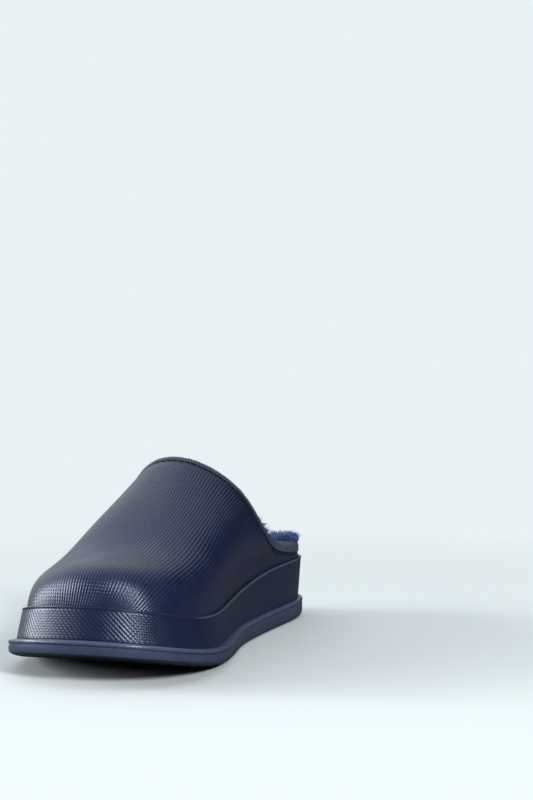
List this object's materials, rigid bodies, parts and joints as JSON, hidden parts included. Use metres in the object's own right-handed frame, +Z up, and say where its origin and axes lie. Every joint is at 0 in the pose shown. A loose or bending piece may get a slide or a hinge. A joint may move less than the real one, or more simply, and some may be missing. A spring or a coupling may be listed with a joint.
{
  "type": "garden clog",
  "caption": "Slip-on open-back garden clog for the right foot, ribbed moulded upper on a cup sole, with a thick fleece lining.",
  "frame": {"origin": "centre of the outsole's footprint, on the plane the clog stands on", "axes": "+Z up, +Y towards the heel (the toe points to -Y), +X towards the inner side of the foot"},
  "size_m": [0.1094, 0.284, 0.0973],
  "materials": {
    "outsole": "smooth satin moulded rubber",
    "midsole": "matte moulded foam rubber with diagonal knit texture",
    "upper": "matte moulded foam rubber with raised ribs",
    "board": "pressed fibre board",
    "footbed": "fine-celled foam",
    "fleece": "high-pile sherpa fleece",
    "binding": "matte moulded lip with fine cross ribs",
    "thread": "twisted polyester sewing thread"
  },
  "bodies": {
    "root": {"outsole": "outsole", "midsole_cup": "midsole", "upper_shell": "upper", "insole_board": "board", "footbed": "footbed", "footbed_fleece": "fleece", "vamp_lining": "fleece", "quarter_lining": "fleece", "collar_binding": "binding", "collar_stitching": "thread"}
  },
  "joints": []
}
